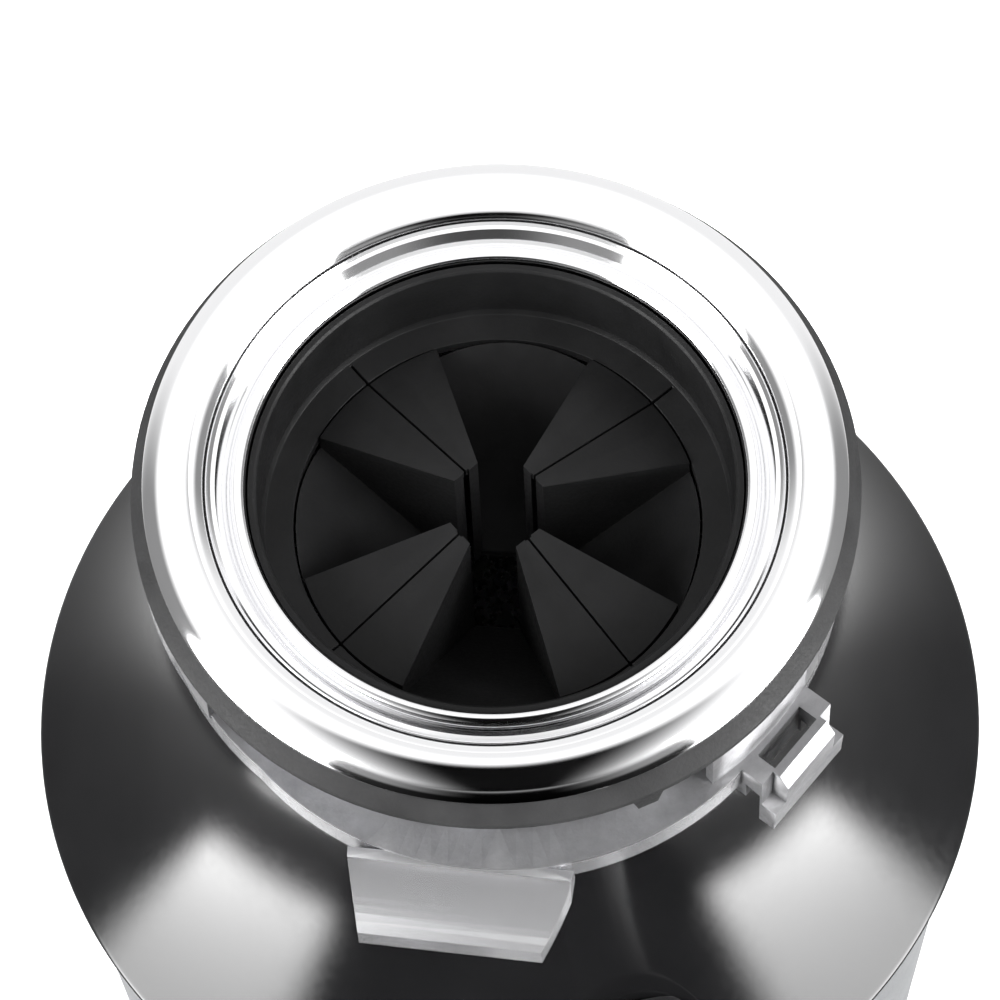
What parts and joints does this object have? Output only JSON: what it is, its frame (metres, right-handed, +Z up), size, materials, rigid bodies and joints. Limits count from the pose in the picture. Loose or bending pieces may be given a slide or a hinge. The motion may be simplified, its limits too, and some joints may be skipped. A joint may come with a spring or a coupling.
{
  "type": "kitchen garbage disposal",
  "caption": "Under-sink food waste disposer: polished sink flange, rubber splash guard, swivel mounting ring and flared black body over a grinding motor, with a side discharge.",
  "frame": {"origin": "centre of the sink flange seating plane, the underside of its lip", "axes": "+Z up along the body axis, towards the sink; -Y is the side with the discharge"},
  "size_m": [0.165, 0.224, 0.2958],
  "materials": {
    "polished_stainless": "mirror polished",
    "drawn_stainless": "drawn, satin",
    "cast_ring": "bead-blasted die casting",
    "zinc_steel": "zinc plated",
    "spring_steel": "oiled spring steel",
    "flange_rubber": "moulded, matt",
    "guard_rubber": "moulded, soft satin",
    "gloss_black_enamel": "deep gloss enamel",
    "satin_shell": "satin metallic",
    "foam": "open-cell foam",
    "black_plastic": "fine moulded texture",
    "grey_plastic": "moulded",
    "red_plastic": "moulded, gloss",
    "hard_iron": "hardened, machined",
    "cast_aluminium": "sand-blasted casting",
    "bronze": "oil-impregnated",
    "bright_steel": "ground",
    "lamination": "stacked laminations",
    "copper_winding": "enamelled wire",
    "can_steel": "primed steel",
    "capacitor_case": "moulded",
    "ground_green": "green passivated",
    "wire_insulation": "extruded"
  },
  "bodies": {
    "housing": {"sink_flange": "polished_stainless", "rim_gasket": "flange_rubber", "backup_flange": "zinc_steel", "mounting_ring": "cast_ring", "mounting_screws": "zinc_steel", "snap_ring": "spring_steel", "cushion_mount": "guard_rubber", "grind_chamber": "drawn_stainless", "bell_cover": "gloss_black_enamel", "neck_liner": "foam", "dishwasher_inlet": "black_plastic", "knockout_plug": "black_plastic", "shell_seal": "flange_rubber", "lower_shell": "satin_shell", "sound_jacket": "foam", "shredder_ring": "hard_iron", "chamber_seal": "flange_rubber", "chamber_bolts": "zinc_steel", "upper_end_bell": "cast_aluminium", "tailpipe_gasket": "flange_rubber", "discharge_elbow": "black_plastic", "tailpipe_flange": "zinc_steel", "flange_bolts": "zinc_steel", "shaft_seal": "flange_rubber", "upper_bearing": "bronze", "lower_bearing": "bronze", "motor_can": "can_steel", "stator_core": "lamination", "upper_winding": "copper_winding", "lower_winding": "copper_winding", "start_switch": "grey_plastic", "start_capacitor": "capacitor_case", "lower_end_frame": "cast_aluminium", "through_bolts": "zinc_steel", "base_cover": "black_plastic", "base_screws": "zinc_steel", "cord_bushing": "grey_plastic", "overload_protector": "grey_plastic", "ground_screw": "ground_green", "lead_wires": "wire_insulation"},
    "lock_ring": {"lock_ring": "cast_ring"},
    "splash_guard": {"splash_guard": "guard_rubber"},
    "guard_leaf_1": {"guard_leaf_1": "guard_rubber"},
    "guard_leaf_2": {"guard_leaf_2": "guard_rubber"},
    "guard_leaf_3": {"guard_leaf_3": "guard_rubber"},
    "guard_leaf_4": {"guard_leaf_4": "guard_rubber"},
    "rotor": {"turntable": "drawn_stainless", "lug_pins": "bright_steel", "motor_shaft": "bright_steel", "turntable_nut": "bright_steel", "water_slinger": "grey_plastic", "rotor_core": "lamination", "rotor_end_rings": "cast_aluminium", "governor": "grey_plastic", "wrench_hub": "bright_steel"},
    "grinding_lug_1": {"grinding_lug_1": "hard_iron"},
    "grinding_lug_2": {"grinding_lug_2": "hard_iron"},
    "reset_button": {"reset_button": "red_plastic"}
  },
  "joints": [
    {"name": "lock_ring_turn", "type": "hinge", "parent": "housing", "child": "lock_ring", "pos_m": [0, 0, -0.022], "axis": [0, 0, 1], "range_deg": [0, 40]},
    {"name": "splash_guard_lift", "type": "slide", "parent": "housing", "child": "splash_guard", "axis": [0, 0, 1], "range_m": [0, 0.09]},
    {"name": "rotor_spin", "type": "hinge", "parent": "housing", "child": "rotor", "pos_m": [0, 0, -0.2], "axis": [0, 0, 1], "continuous": true},
    {"name": "lug_1_swing", "type": "hinge", "parent": "rotor", "child": "grinding_lug_1", "pos_m": [0.0455, 0, -0.12], "axis": [0, 0, 1], "continuous": true},
    {"name": "lug_2_swing", "type": "hinge", "parent": "rotor", "child": "grinding_lug_2", "pos_m": [-0.0455, 0, -0.12], "axis": [0, 0, 1], "continuous": true},
    {"name": "reset_button_press", "type": "slide", "parent": "housing", "child": "reset_button", "axis": [0, 0, -1], "range_m": [0, 0.003]},
    {"name": "guard_leaf_1_bend", "type": "hinge", "parent": "splash_guard", "child": "guard_leaf_1", "pos_m": [0.03347, -0.0047, -0.0184], "axis": [-0.1392, -0.9903, 0], "range_deg": [0, 30], "stiffness_Nm_per_rad": 0.1},
    {"name": "guard_leaf_2_bend", "type": "hinge", "parent": "splash_guard", "child": "guard_leaf_2", "pos_m": [0.0047, 0.03347, -0.0184], "axis": [0.9903, -0.1392, 0], "range_deg": [0, 30], "stiffness_Nm_per_rad": 0.1},
    {"name": "guard_leaf_3_bend", "type": "hinge", "parent": "splash_guard", "child": "guard_leaf_3", "pos_m": [-0.03347, 0.0047, -0.0184], "axis": [0.1392, 0.9903, 0], "range_deg": [0, 30], "stiffness_Nm_per_rad": 0.1},
    {"name": "guard_leaf_4_bend", "type": "hinge", "parent": "splash_guard", "child": "guard_leaf_4", "pos_m": [-0.0047, -0.03347, -0.0184], "axis": [-0.9903, 0.1392, 0], "range_deg": [0, 30], "stiffness_Nm_per_rad": 0.1}
  ]
}
